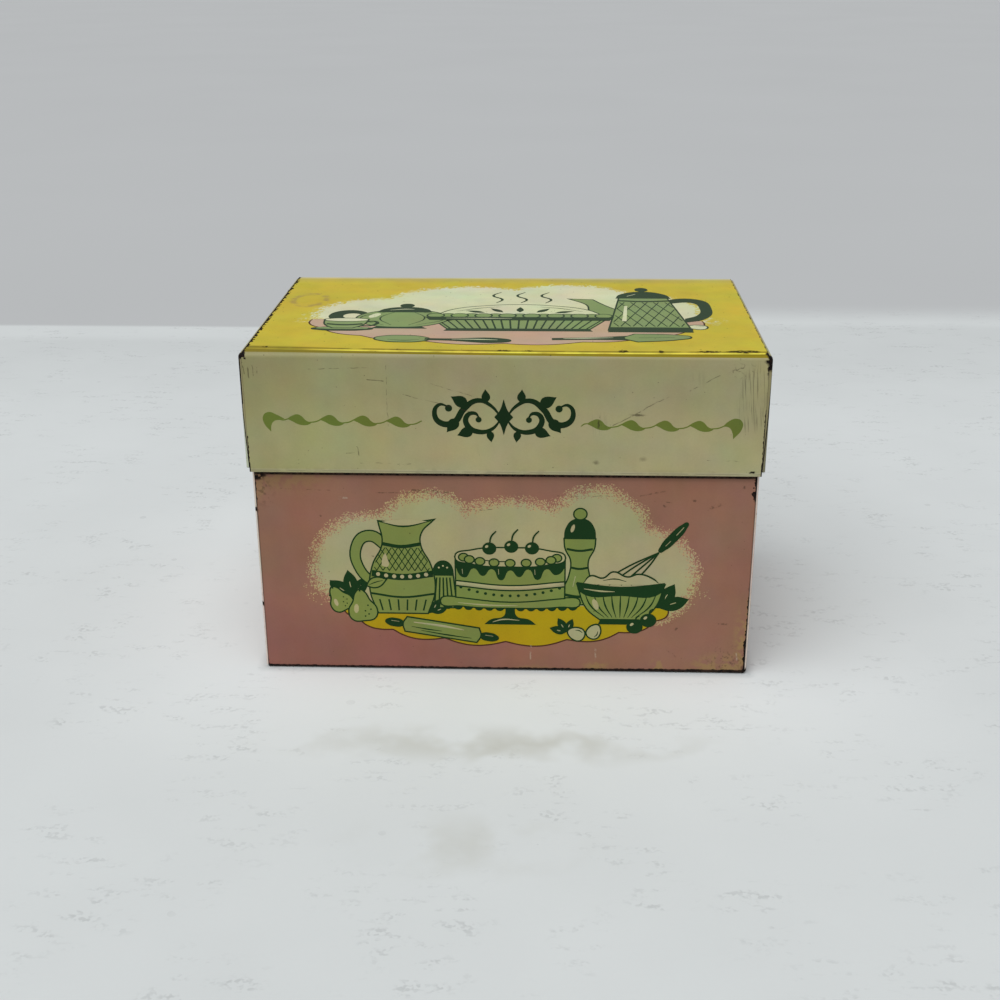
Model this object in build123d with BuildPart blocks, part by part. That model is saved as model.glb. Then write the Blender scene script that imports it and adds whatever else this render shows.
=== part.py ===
# Recipe card box of folded tinplate, in millimetres.
# A straight-sided body and a deep telescoping lid. Each is one wrapped sheet closed by two pressed
# end pans, whose flanges lie inside the sheet. The lid's back edge is rolled round a steel wire, and
# loops curled from the body's back panel hold that wire, so the two sheets make the hinge.
# +Z is up, the front faces -Y, and the origin is the middle of the underside.

from math import acos, degrees, radians, sin
import os

from build123d import *

os.makedirs("parts", exist_ok=True)

# ---- driving dimensions ----
lid_length = 134.0        # along X, over both end pans
lid_depth = 86.0          # along Y, over both skirts
overall_height = 90.0
lid_height = 32.0         # from the lid's lower edge to its top
sheet = 0.3               # tinplate
wall_gap = 0.9            # between the lid's inside and the body's outside
rim_rise = 6.0            # how far the body's rim stands up inside the lid

wrap_bend = 1.2           # outside radius where a wrap turns from wall to top or bottom
lid_pan_bend = 0.85       # outside radius round the face of a lid end pan
body_pan_bend = 0.5       # outside radius round the face of a body end pan
seam_crack = 0.1          # open line between a wrap's cut edge and a pan's bend
flange_width = 6.0        # how far a pan's flanges reach in under the wrap
flange_relief = 2.5       # flange cut away on each side of a pan's corner
lid_pan_rise = 0.8        # a lid pan's lower edge above the wrap's

hem_height = 3.0          # turned-in edges
hem_gap = 0.06            # daylight inside the fold
hem_clearance = 0.4       # between a hem and a flange that ends beside it

wire_radius = 0.8
wire_fit = 0.05           # radial play of the wire in the rolls
axis_rise = 0.35          # hinge axis above the lid's lower edge
hinge_length = 116.0      # rolled part of the lid's back edge
wire_end_gap = 0.3        # from the end of the wire to the end of the roll
roll_mouth = 60.0         # degrees left open between the roll's free edge and the skirt
loop_count = 3
loop_pitch = 42.0
loop_width = 14.0
loop_mouth = 52.0         # degrees left open between a loop's free edge and its root
loop_side_gap = 0.4       # play between a loop and the rolls beside it
window_gap = 0.45         # between a loop and the edge of its window in the skirt
stop_gap = 0.1            # between the roll and the back panel under it, where the open lid lands
slit_width = 0.8          # relief slits beside a loop's root and beside the rolled edge
slit_depth = 0.35         # below the start of the loop's bend
rim_landing = 0.8         # level stretch of the end rims beside the hinge
rim_slope = 6.0           # stretch of the end rims that climbs from there to full height

# ---- worked-out sizes ----
half_sheet = sheet / 2
body_length = lid_length - 2 * (sheet + wall_gap)
body_depth = lid_depth - 2 * (sheet + wall_gap)
lid_edge = overall_height - lid_height
rim_height = lid_edge + rim_rise
bend_radius = wrap_bend - half_sheet
fold_radius = (sheet + hem_gap) / 2

roll_radius = wire_radius + wire_fit + half_sheet
roll_outside = roll_radius + half_sheet
axis_y = lid_depth / 2 - roll_outside
axis_z = lid_edge + axis_rise
panel_top = axis_z - roll_outside - stop_gap
window_top = axis_z + roll_outside + window_gap
loop_places = [(i - (loop_count - 1) / 2) * loop_pitch for i in range(loop_count)]

# ---- body wrap: front, bottom and back in one sheet, with a hemmed rim and the hinge loops ----
body_wrap_length = body_length - 2 * (body_pan_bend + seam_crack)
body_front = half_sheet - body_depth / 2
body_back = -body_front
rim_fold = rim_height - fold_radius - half_sheet

# A loop's root swings off the back panel and onto the circle round the wire in one bend of that
# circle's own radius.
root_angle = degrees(acos((1 + (axis_y - body_back) / roll_radius) / 2))
root_start = axis_z - 2 * roll_radius * sin(radians(root_angle))
slit_bottom = root_start - slit_depth

with BuildPart() as body_wrap:
    with BuildSketch(Plane.YZ.offset(-body_wrap_length / 2)):
        with BuildLine():
            hem_y = body_front + 2 * fold_radius
            hem = Line((hem_y, rim_fold - hem_height), (hem_y, rim_fold))
            fold = JernArc(hem @ 1, hem % 1, fold_radius, 180)
            front = Line(fold @ 1, (body_front, wrap_bend))
            front_bend = JernArc(front @ 1, front % 1, bend_radius, 90)
            bottom = Line(front_bend @ 1, (body_back - bend_radius, half_sheet))
            back_bend = JernArc(bottom @ 1, bottom % 1, bend_radius, 90)
            Line(back_bend @ 1, (body_back, panel_top))
        trace(line_width=sheet)
    extrude(amount=body_wrap_length)

    # each loop's stretch of the panel is cut down to the root, a slit wider on both sides
    with BuildSketch(Plane.XZ.offset(-body_depth / 2)):
        for place in loop_places:
            with Locations((place, (panel_top + slit_bottom) / 2)):
                Rectangle(loop_width + 2 * slit_width, panel_top - slit_bottom)
    extrude(amount=sheet, mode=Mode.SUBTRACT)

    for place in loop_places:
        with BuildSketch(Plane.YZ.offset(place - loop_width / 2)):
            with BuildLine():
                root = Line((body_back, slit_bottom), (body_back, root_start))
                swing = JernArc(root @ 1, root % 1, roll_radius, root_angle)
                JernArc(swing @ 1, swing % 1, roll_radius, loop_mouth - 360)
            trace(line_width=sheet)
        extrude(amount=loop_width)

# ---- body end pans: face, flanges under the wrap, hemmed rim that drops to clear the hinge ----
pan_half = body_depth / 2 - sheet
pan_inner = body_length / 2 - flange_width
body_face = body_length / 2 - half_sheet
slope_foot = pan_half - rim_landing
slope_head = slope_foot - rim_slope
flange_top = rim_fold - hem_height - hem_clearance

with BuildPart() as body_end_right:
    with BuildSketch(Plane.YZ.offset(pan_inner)):
        with BuildLine():
            Polyline(
                (-pan_half, rim_fold),
                (-pan_half, sheet),
                (pan_half, sheet),
                (pan_half, panel_top),
                (slope_foot, panel_top),
                (slope_head, rim_fold),
                close=True,
            )
        make_face()
        fillet(vertices().group_by(Axis.Y)[0], body_pan_bend + sheet)
    extrude(amount=flange_width)

    face = faces().sort_by(Axis.X)[-1]
    fillet(face.edges().filter_by(lambda edge: edge.center().Z < panel_top - sheet), body_pan_bend)
    rim_faces = faces().filter_by(lambda side: side.normal_at().Z > sheet)
    offset(amount=-sheet, openings=[faces().sort_by(Axis.X)[0], *rim_faces])

    # the flanges stop short of the pressed corners, and the front one under the rim's hem
    with BuildSketch(Plane.YZ.offset(pan_inner)):
        with Locations((-pan_half, sheet), (pan_half, sheet)):
            Rectangle(2 * flange_relief, 2 * flange_relief)
        with Locations((-pan_half, flange_top)):
            Rectangle(2 * flange_relief, rim_height - flange_top, align=(Align.CENTER, Align.MIN))
    extrude(amount=flange_width - body_pan_bend, mode=Mode.SUBTRACT)

    with BuildSketch(Plane.XZ.offset(-slope_head)):
        with BuildLine():
            hem_x = body_face - 2 * fold_radius
            hem = Line((hem_x, rim_fold - hem_height), (hem_x, rim_fold))
            fold = JernArc(hem @ 1, hem % 1, fold_radius, -180)
            Line(fold @ 1, (body_face, rim_fold - sheet))
        trace(line_width=sheet)
    extrude(amount=slope_head + pan_half - flange_relief)

with BuildPart() as body_end_left:
    mirror(body_end_right.part, about=Plane.YZ)

# ---- lid wrap: front skirt, top and back skirt in one sheet, front hemmed, back rolled ----
lid_wrap_length = lid_length - 2 * (lid_pan_bend + seam_crack)
lid_front = half_sheet - lid_depth / 2
lid_back = -lid_front
lid_top = overall_height - half_sheet
skirt_fold = lid_edge + half_sheet + fold_radius
half_hinge = hinge_length / 2
half_slot = loop_width / 2 + loop_side_gap
roll_starts = [-half_hinge] + [place + half_slot for place in loop_places]
roll_ends = [place - half_slot for place in loop_places] + [half_hinge]

with BuildPart() as lid_wrap:
    with BuildSketch(Plane.YZ.offset(-lid_wrap_length / 2)):
        with BuildLine():
            hem_y = lid_front + 2 * fold_radius
            hem = Line((hem_y, skirt_fold + hem_height), (hem_y, skirt_fold))
            fold = JernArc(hem @ 1, hem % 1, fold_radius, -180)
            front = Line(fold @ 1, (lid_front, overall_height - wrap_bend))
            front_bend = JernArc(front @ 1, front % 1, bend_radius, -90)
            top = Line(front_bend @ 1, (lid_back - bend_radius, lid_top))
            back_bend = JernArc(top @ 1, top % 1, bend_radius, -90)
            Line(back_bend @ 1, (lid_back, window_top))
        trace(line_width=sheet)
    extrude(amount=lid_wrap_length)

    # the skirt's two ends run straight down past the roll, a slit away from it
    end_width = lid_wrap_length / 2 - half_hinge - slit_width
    with BuildSketch(Plane.XZ.offset(-lid_depth / 2)):
        for place in (-1, 1):
            with Locations((place * (lid_wrap_length - end_width) / 2, (window_top + lid_edge) / 2)):
                Rectangle(end_width, window_top - lid_edge)
    extrude(amount=sheet)

    # between the windows it is rolled forwards round the wire
    for start, end in zip(roll_starts, roll_ends):
        with BuildSketch(Plane.YZ.offset(start)):
            with BuildLine():
                skirt = Line((lid_back, window_top), (lid_back, axis_z))
                JernArc(skirt @ 1, skirt % 1, roll_radius, roll_mouth - 360)
            trace(line_width=sheet)
        extrude(amount=end - start)

# ---- lid end pans: face, flanges under the wrap, hemmed lower edge ----
lid_pan_half = lid_depth / 2 - sheet
lid_pan_inner = lid_length / 2 - flange_width
lid_face = lid_length / 2 - half_sheet
pan_fold = skirt_fold + lid_pan_rise
flange_foot = skirt_fold + hem_height + hem_clearance

with BuildPart() as lid_end_right:
    with BuildSketch(Plane.YZ.offset(lid_pan_inner)):
        with Locations((0, pan_fold)):
            Rectangle(2 * lid_pan_half, overall_height - sheet - pan_fold, align=(Align.CENTER, Align.MIN))
        fillet(vertices().group_by(Axis.Y)[-1], lid_pan_bend + sheet)
    extrude(amount=flange_width)

    face = faces().sort_by(Axis.X)[-1]
    fillet(face.edges().filter_by(lambda edge: edge.center().Z > pan_fold + sheet), lid_pan_bend)
    offset(amount=-sheet, openings=[faces().sort_by(Axis.X)[0], faces().sort_by(Axis.Z)[0]])

    # the flanges stop short of the pressed corners and above the skirt's hem
    with BuildSketch(Plane.YZ.offset(lid_pan_inner)):
        for side in (-1, 1):
            with Locations((side * lid_pan_half, overall_height - sheet)):
                Rectangle(2 * flange_relief, 2 * flange_relief)
            with Locations((side * lid_pan_half, flange_foot)):
                Rectangle(2 * flange_relief, flange_foot - lid_edge, align=(Align.CENTER, Align.MAX))
    extrude(amount=flange_width - lid_pan_bend, mode=Mode.SUBTRACT)

    with BuildSketch(Plane.XZ.offset(flange_relief - lid_pan_half)):
        with BuildLine():
            hem_x = lid_face - 2 * fold_radius
            hem = Line((hem_x, pan_fold + hem_height), (hem_x, pan_fold))
            fold = JernArc(hem @ 1, hem % 1, fold_radius, 180)
            Line(fold @ 1, (lid_face, pan_fold + sheet))
        trace(line_width=sheet)
    extrude(amount=2 * (lid_pan_half - flange_relief))

with BuildPart() as lid_end_left:
    mirror(lid_end_right.part, about=Plane.YZ)

# ---- hinge wire, through the rolls and the loops ----
wire_length = hinge_length - 2 * wire_end_gap

with BuildPart() as hinge_wire:
    with BuildSketch(Plane.YZ.offset(-wire_length / 2)):
        with Locations((axis_y, axis_z)):
            Circle(wire_radius)
    extrude(amount=wire_length)

pieces = {
    "body_wrap": body_wrap,
    "body_end_left": body_end_left,
    "body_end_right": body_end_right,
    "lid_wrap": lid_wrap,
    "lid_end_left": lid_end_left,
    "lid_end_right": lid_end_right,
    "hinge_wire": hinge_wire,
}
for name, piece in pieces.items():
    piece.part.label = name
    export_step(piece.part, f"parts/{name}.step")
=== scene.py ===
import math
import bpy
import bmesh
from mathutils import Matrix, Vector


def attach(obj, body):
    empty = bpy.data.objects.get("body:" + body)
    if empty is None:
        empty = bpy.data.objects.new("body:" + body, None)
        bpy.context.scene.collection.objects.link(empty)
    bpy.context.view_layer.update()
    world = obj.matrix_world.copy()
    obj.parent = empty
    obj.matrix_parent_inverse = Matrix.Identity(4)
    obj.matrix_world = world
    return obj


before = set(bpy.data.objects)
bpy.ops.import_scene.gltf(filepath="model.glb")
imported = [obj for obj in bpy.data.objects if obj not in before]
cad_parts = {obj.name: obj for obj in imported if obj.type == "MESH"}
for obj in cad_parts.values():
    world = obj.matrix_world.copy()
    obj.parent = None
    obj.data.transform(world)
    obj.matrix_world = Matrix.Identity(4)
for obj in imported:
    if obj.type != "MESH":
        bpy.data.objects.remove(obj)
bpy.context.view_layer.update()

# ---- Body sheet -------------------------------------------------------------------------------
# One strip of 0.3 mm tinplate, printed flat and then bent up into front, floor and back. The front
# has a pink ground with a cream cloud left bare for the picture, feathered by spattered ink; the
# inside is plain tin, and the hemmed rim turns the printed side inwards.
MM = 0.001
body_front = -41.8
body_bend = 1.2
sheet_half = 0.15
body_half_length = 65.2


def rgb(red, green, blue):
    """A paint colour from its 0 to 255 values, as a shader wants it."""
    return tuple(
        ((c / 255 + 0.055) / 1.055) ** 2.4 if c > 10 else c / 255 / 12.92
        for c in (red, green, blue)
    ) + (1.0,)


class Web:
    """A socket in a material's nodes. Sums on it add Math nodes to the material."""

    def __init__(self, tree, socket=None):
        self.tree = tree
        self.socket = socket

    def node(self, kind, settings, sockets, output=0):
        """Adds a node of this type: its settings first, then the values or links of its sockets."""
        made = self.tree.nodes.new("ShaderNode" + kind)
        for name, value in settings.items():
            setattr(made, name, value)
        for name, value in sockets.items():
            if isinstance(value, Web):
                self.tree.links.new(value.socket, made.inputs[name])
            else:
                made.inputs[name].default_value = value
        return Web(self.tree, made.outputs[output])

    def math(self, operation, first, second=0.0, clamp=False):
        return self.node(
            "Math", {"operation": operation, "use_clamp": clamp}, {0: first, 1: second}
        )

    def __add__(self, other):
        return self.math("ADD", self, other)

    def __sub__(self, other):
        return self.math("SUBTRACT", self, other)

    def __rsub__(self, other):
        return self.math("SUBTRACT", other, self)

    def __mul__(self, other):
        return self.math("MULTIPLY", self, other)

    def __truediv__(self, other):
        return self.math("DIVIDE", self, other)

    def __pow__(self, other):
        return self.math("POWER", self, other)

    def __gt__(self, other):
        return self.math("GREATER_THAN", self, other)

    def __lt__(self, other):
        return self.math("LESS_THAN", self, other)

    def __abs__(self):
        return self.math("ABSOLUTE", self)

    __radd__ = __add__
    __rmul__ = __mul__

    def most(self, other):
        return self.math("MAXIMUM", self, other)

    def held(self):
        """The value kept between 0 and 1."""
        return self.math("ADD", self, 0.0, clamp=True)

    def rise(self, low, high):
        """0 below low, 1 above high and a smooth step between; falls where low is the larger."""
        return self.node(
            "MapRange",
            {"interpolation_type": "SMOOTHSTEP"},
            {"Value": self, "From Min": low, "From Max": high},
        )

    def tint(self, under, over):
        """This mask lays the second colour over the first."""
        return self.node(
            "Mix", {"data_type": "RGBA"}, {0: self, 6: under, 7: over}, output=2
        )

    def shade(self, colour):
        """The colour made lighter or darker by this value."""
        if not isinstance(colour, Web):
            colour = colour[:3]
        return self.node(
            "VectorMath", {"operation": "SCALE"}, {0: colour, "Scale": self}
        )


def flat(u, v):
    """A point on a flat face, for patterns and marks."""
    return u.node("CombineXYZ", {}, {0: u, 1: v})


def noise(point, size, detail=2.0, output=0, roughness=0.5):
    """Cloudy noise with patches about size millimetres across, from 0 to 1."""
    return point.node(
        "TexNoise",
        {},
        {"Vector": point, "Scale": 1 / size, "Detail": detail, "Roughness": roughness},
        output,
    )


def grains(point, size):
    """A random value from 0 to 1 for each grain about size millimetres across."""
    cell = point.node(
        "TexVoronoi",
        {"voronoi_dimensions": "2D"},
        {"Vector": point, "Scale": 1 / size},
        output=1,
    )
    return point.node("SeparateXYZ", {}, {0: cell})


def specks(point, size, share):
    """Small round specks of mixed sizes, a share of the cells of this size having one."""
    cells = {"Vector": point, "Scale": 1 / size}
    near = point.node("TexVoronoi", {}, cells)
    random = point.node("SeparateXYZ", {}, {0: point.node("TexVoronoi", {}, cells, 1)})
    second = Web(random.tree, random.socket.node.outputs[1])
    return (near < 0.08 + second * 0.2) * (random < share)


def jitter(point, size, reach):
    """The point moved about by noise, so that what is drawn from it has ragged edges."""
    spread = noise(point, size, 3.0, output=1)
    centred = point.node("VectorMath", {"operation": "SUBTRACT"}, {0: spread, 1: (0.5, 0.5, 0.5)})
    moved = point.node("VectorMath", {"operation": "SCALE"}, {0: centred, "Scale": reach})
    return point.node("VectorMath", {"operation": "ADD"}, {0: point, 1: moved})


def scratch(point, ends, width):
    """A line from one point to another on a flat face, 1 along its middle."""
    x0, y0, x1, y1 = ends
    run = (x1 - x0, y1 - y0, 0.0)
    square = run[0] ** 2 + run[1] ** 2
    off = point.node("VectorMath", {"operation": "SUBTRACT"}, {0: point, 1: (x0, y0, 0.0)})
    along = point.node(
        "VectorMath",
        {"operation": "DOT_PRODUCT"},
        {0: off, 1: (run[0] / square, run[1] / square, 0.0)},
        output=1,
    ).held()
    foot = point.node("VectorMath", {"operation": "SCALE"}, {0: run, "Scale": along})
    away = point.node("VectorMath", {"operation": "DISTANCE"}, {0: off, 1: foot}, output=1)
    return away.rise(width, 0.3 * width)


def spot(point, middle, radii, soft=0.5):
    """An oval patch on a flat face, 1 inside and fading to its edge."""
    off = point.node("VectorMath", {"operation": "SUBTRACT"}, {0: point, 1: (*middle, 0.0)})
    share = point.node("VectorMath", {"operation": "DIVIDE"}, {0: off, 1: (*radii, 1.0)})
    away = point.node("VectorMath", {"operation": "LENGTH"}, {0: share}, output=1)
    return away.rise(1.0, soft)


def all_of(masks):
    """The union of several masks."""
    whole = masks[0]
    for mask in masks[1:]:
        whole = whole.most(mask)
    return whole


def finish_of(name, look, **fixed):
    """A material whose colour, roughness, metal and height come from look, in millimetres."""
    made = bpy.data.materials.new(name)
    made.use_nodes = True
    tree = made.node_tree
    shader = tree.nodes["Principled BSDF"]
    web = Web(tree)
    place = web.node("TexCoord", {}, {}, output="Object")
    place = web.node("VectorMath", {"operation": "SCALE"}, {0: place, "Scale": 1000.0})
    x = web.node("SeparateXYZ", {}, {0: place})
    y = Web(tree, x.socket.node.outputs[1])
    z = Web(tree, x.socket.node.outputs[2])
    colour, roughness, metal, height = look(place, x, y, z)
    bump = web.node("Bump", {}, {"Strength": 1.0, "Distance": MM, "Height": height})
    for socket, value in (
        ("Base Color", colour),
        ("Roughness", roughness),
        ("Metallic", metal),
        ("Normal", bump),
    ):
        if isinstance(value, Web):
            tree.links.new(value.socket, shader.inputs[socket])
        else:
            shader.inputs[socket].default_value = value
    shader.inputs["Specular IOR Level"].default_value = 0.18
    for socket, value in fixed.items():
        shader.inputs[socket].default_value = value
    return made


cream = rgb(177, 170, 126)
pink = rgb(153, 109, 89)
rust_dark = rgb(16, 11, 9)
rust_brown = rgb(66, 38, 24)
bare_tin = rgb(176, 172, 164)


def tinplate(place, x, y, z):
    """Plain tinned steel: soft crystal patches, wipe marks and a few freckles of rust."""
    crystals = grains(place.node("CombineXYZ", {}, {0: x + y * 0.3, 1: z + y}), 7.0)
    cloudy = noise(place, 22.0, 3.0)
    fine = noise(place, 0.5, 2.0)
    freckle = specks(place, 2.6, 0.16) * noise(place, 14.0).rise(0.45, 0.62)
    colour = (0.8 + crystals * 0.12 + cloudy * 0.22).shade(bare_tin)
    colour = (freckle * 0.9).tint(colour, rust_brown)
    roughness = 0.26 + cloudy * 0.16 + crystals * 0.06 + freckle * 0.4
    height = fine * 0.004 + cloudy * 0.06
    return colour, roughness, 1.0 - freckle, height


def varnished(place, colour, dirt_and_shade, stain, rust, rubbed_and_highlight):
    """Printed and varnished tin, aged, and scuffed, stained, rusty or worn bare by the masks. The grime
    mask also carries painted shade, and the bare-wear mask painted highlights.
    """
    tone = noise(place, 30.0, 2.0)
    blotch = noise(place, 6.0, 3.0)
    grain = noise(place, 0.42, 2.0, roughness=0.7)
    hue = noise(place, 13.0, 3.0, output=1)
    streak = noise(
        place.node("VectorMath", {"operation": "MULTIPLY"}, {0: place, 1: (0.3, 0.3, 0.03)}), 1.0,
        2.0,
    )
    shade = 0.70 + tone * 0.26 + blotch * 0.14 + grain * 0.12 + streak * 0.08
    colour = shade.shade(colour)
    cast = place.node(
        "VectorMath", {"operation": "MULTIPLY_ADD"},
        {0: hue, 1: (0.3, 0.24, 0.4), 2: (0.85, 0.88, 0.8)},
    )
    colour = place.node("VectorMath", {"operation": "MULTIPLY"}, {0: colour, 1: cast})
    colour = (stain * 0.6).tint(colour, rgb(164, 136, 84))
    colour = (dirt_and_shade * 0.7).tint(colour, rgb(52, 40, 26))
    colour = (rubbed_and_highlight * 0.75).tint(colour, rgb(206, 198, 176))
    colour = rust.tint(colour, grain.rise(0.5, 0.8).tint(rust_dark, rust_brown))
    roughness = (0.36 + blotch * 0.12 + grain * 0.06 + dirt_and_shade * 0.12 + rust * 0.4).held()
    height = tone * 0.05 + grain * 0.0025 - dirt_and_shade * 0.006 - rust * 0.012 + rust * grain * 0.03
    return colour, roughness, rubbed_and_highlight * 0.25, height


def two_sided(printed, outer, inner):
    """One sheet's two faces: the outer look where it is printed and the inner look elsewhere."""
    return (
        printed.tint(inner[0], outer[0]),
        inner[1] + (outer[1] - inner[1]) * printed,
        inner[2] + (outer[2] - inner[2]) * printed,
        inner[3] + (outer[3] - inner[3]) * printed,
    )


def body_wear(place, x, y, z):
    """Dirt, stains, rust and rubbing on the outside of the body, with painted shade under the lid's
    edge, at its upper left and along the bottom bend.
    """
    face = flat(x, z)
    ragged = jitter(face, 1.1, 1.4)
    wavy = jitter(face, 4.0, 1.0)
    front = y < -40.0
    broken = noise(place, 0.9, 4.0).rise(0.40, 0.62)
    scuffs = all_of(
        [
            scratch(wavy, ends, width) * broken
            for ends, width in (
                ((-33.5, 52.2, -14.5, 52.4), 0.26),
                ((-24.0, 52.9, -17.0, 52.7), 0.4),
                ((-11.5, 47.6, -3.5, 47.8), 0.2),
                ((14.0, 51.7, 36.0, 51.8), 0.14),
                ((35.5, 52.0, 41.5, 53.4), 0.3),
                ((39.3, 50.4, 43.4, 50.1), 0.22),
                ((53.6, 48.7, 57.6, 50.0), 0.6),
                ((-60.0, 53.0, -44.0, 52.6), 0.2),
                ((44.0, 7.5, 46.5, 4.8), 0.4),
                ((57.6, 15.2, 60.2, 15.1), 0.4),
            )
        ]
    )
    dots = all_of(
        [
            spot(ragged, middle, (0.5, 0.45), 0.3)
            for middle in (
                (41.6, 49.1), (49.4, 50.8), (62.0, 54.6), (-48.4, 45.6), (-35.0, 34.0),
                (46.2, 13.6),
            )
        ]
    )
    pale = all_of(
        [
            scratch(wavy, ends, width) * broken
            for ends, width in (
                ((-43.6, 50.6, -41.2, 50.8), 0.5),
                ((7.2, 8.0, 7.0, 3.8), 0.35),
                ((24.6, 7.6, 24.8, 3.4), 0.35),
                ((62.6, 6.4, 62.9, 4.2), 0.3),
            )
        ]
    )
    corner_right = spot(ragged, (66.0, 0.4), (2.6, 3.4), 0.4)
    corner_low = corner_right.most(spot(ragged, (-65.4, 0.8), (0.7, 3.4), 0.4))
    corner_left = spot(
        ragged, (-65.0, 57.2), (3.6, 2.2), 0.6,
    ) * noise(place, 0.9, 3.0).rise(0.34, 0.5)
    edge = body_half_length - abs(x)
    deep = noise(place, 1.3, 3.0).rise(0.36, 0.68)
    low_or_high = z.rise(30.0, 20.0).most(z.rise(50.4, 51.2) * 2.0)
    edge_right = (edge < 0.05 + deep * 0.45 + z.rise(17.0, 7.0) * 0.35) * low_or_high
    edge_right = edge_right.most((edge < 0.3 + deep * 0.95) * z.rise(50.4, 51.6)) * (x > 0.0)
    edge_left = (edge < 0.1 + deep * 0.35) * z.rise(40.0, 54.0) * (x < 0.0)
    # The bottom bend is painted dark in rust colours: partly rust, partly painted shade where the bend
    # turns under.
    foot = (z < 0.95 + deep * 0.2 + x.rise(0.0, 60.0) * 0.3) * (0.9 + deep * 0.1)
    covered = z.rise(57.9, 59.0)
    # lip: a dark rusty line just under the lid's edge, painted shadow of the lid's overhang.
    lip = z.rise(56.85, 57.1) * (0.8 + deep * 0.2)
    rust = corner_low.most(edge_right).most(edge_left).most(corner_left).most(foot).most(lip)
    rust = rust * front * (1.0 - covered)
    rust = rust.most(edge < 0.03)
    patchy = noise(place, 2.6, 4.0).rise(0.40, 0.55)
    stain = all_of(
        [
            spot(ragged, (58.0, 1.0), (11.0, 6.5), 0.4),
            spot(ragged, (65.0, 10.0), (4.0, 17.0), 0.4),
            spot(ragged, (-64.4, 54.0), (2.4, 5.0), 0.4) * 0.7,
            spot(ragged, (25.0, 1.6), (4.6, 2.6), 0.3),
            spot(ragged, (41.5, 2.2), (2.8, 3.0), 0.3),
            spot(ragged, (8.0, 1.0), (8.0, 1.4), 0.3) * 0.5,
            spot(wavy, (-60.0, 57.0), (22.0, 7.0), 0.1) * 0.7,
        ]
    ) * patchy * front
    # shaded: painted shade at the upper left of the front, under the lid.
    shaded = spot(wavy, (-64.0, 58.0), (26.0, 8.0), 0.0) * 0.35
    peppered = spot(ragged, (60.0, 3.0), (9.0, 9.0), 0.0) * noise(place, 0.7, 3.0).rise(0.56, 0.66)
    pits = noise(place, 0.9, 3.0).rise(0.5, 0.62)
    peppered = peppered.most(spot(ragged, (-63.0, 53.0), (4.0, 7.0), 0.0) * pits)
    dirt_and_shade = (scuffs * 0.75).most(dots * 0.8).most(shaded).most(peppered * 0.7)
    # A dark band under the lid's edge: painted shadow of the lid's overhang.
    dirt_and_shade = dirt_and_shade.most(z.rise(55.6, 57.4) * 0.5) * front * (1.0 - covered * 0.8)
    speck = specks(place, 1.0, 0.03)
    dirt_and_shade = dirt_and_shade.most(speck * 0.6).most((edge < 0.28) * 0.5)
    return dirt_and_shade, stain, rust, pale * 0.5 * front


def cloud(face, lobes, spread, grain):
    """How far the bare cloud's two inks hold off, as masks for the coarse and the fine ink."""
    reach = all_of(
        [
            (1.0 - spot_distance(face, middle, radii)) * min(radii)
            for middle, radii in lobes
        ]
    )
    soft = (noise(face, 5.0, 2.0) - 0.5) * 3.0
    first = reach + soft + (grains(face, grain) - 0.5) * spread
    shifted = face.node("VectorMath", {"operation": "ADD"}, {0: face, 1: (3.7, 9.1, 0.0)})
    second = reach + soft + (grains(shifted, grain) - 0.5) * spread
    return first > 0.0, second > 0.0


def spot_distance(point, middle, radii):
    """Distance from an oval's middle, 1 at its edge."""
    off = point.node("VectorMath", {"operation": "SUBTRACT"}, {0: point, 1: (*middle, 0.0)})
    share = point.node("VectorMath", {"operation": "DIVIDE"}, {0: off, 1: (*radii, 1.0)})
    return point.node("VectorMath", {"operation": "LENGTH"}, {0: share}, output=1)


front_lobes = (
    ((-34.0, 31.0), (17.0, 15.0)),
    ((-20.0, 37.0), (14.0, 15.0)),
    ((2.0, 32.0), (24.0, 18.0)),
    ((24.0, 36.0), (15.0, 17.5)),
    ((35.0, 29.0), (15.5, 14.0)),
    ((0.0, 24.0), (44.0, 9.0)),
)


def body_look(place, x, y, z):
    face = flat(x, z)
    no_pink, no_yellow = cloud(face, front_lobes, 4.2, 0.27)
    front = y < body_front + 0.1
    rosy = z.rise(26.0, 5.0) * x.rise(36.0, -36.0)
    ground = (no_yellow * front).tint(rosy.tint(pink, rgb(151, 99, 87)), rgb(176, 132, 104))
    ground = (no_pink * front).tint(ground, rgb(190, 166, 118))
    ground = (no_pink * no_yellow * front).tint(ground, cream)
    outer = varnished(place, ground, *body_wear(place, x, y, z))
    inner = tinplate(place, x, y, z)
    bend = -body_front - body_bend
    over = (abs(y) - bend).most(0.0)
    under = (body_bend - z).most(0.0)
    printed = ((over * over + under * under) > (body_bend - sheet_half) ** 2).most(z > 61.02)
    return two_sided(printed, outer, inner)


def dress(node, finish):
    """Gives a CAD node's own object its finish, in every material slot."""
    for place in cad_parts[node].material_slots:
        place.material = finish


dress("body_wrap", finish_of("Printed body tin", body_look))


# ---- Front picture ----------------------------------------------------------------------------
# A kitchen still life laid over the cloud, one film for each ink: yellow cloth, light green, bare
# cream and the dark green key, with a brown line round the cloth. The films are printed on the flat
# sheet before it is bent, so they lie on it with only an ink's thickness.
film_step = 0.004
film_sink = 0.002
line_edge = 0.004
key_line = 0.4
light_green = rgb(128, 141, 71)
dark_green = rgb(10, 53, 12)
cloth_yellow = rgb(181, 154, 4)
brown_line = rgb(78, 44, 22)


def oval(x, y, wide, high, turn=0.0):
    """Eight points of an oval, by its half width and half height."""
    points = []
    for step in range(8):
        angle = step * math.pi / 4
        along, up = wide * math.cos(angle), high * math.sin(angle)
        points.append(
            (
                x + along * math.cos(turn) - up * math.sin(turn),
                y + along * math.sin(turn) + up * math.cos(turn),
            )
        )
    return points


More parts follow.
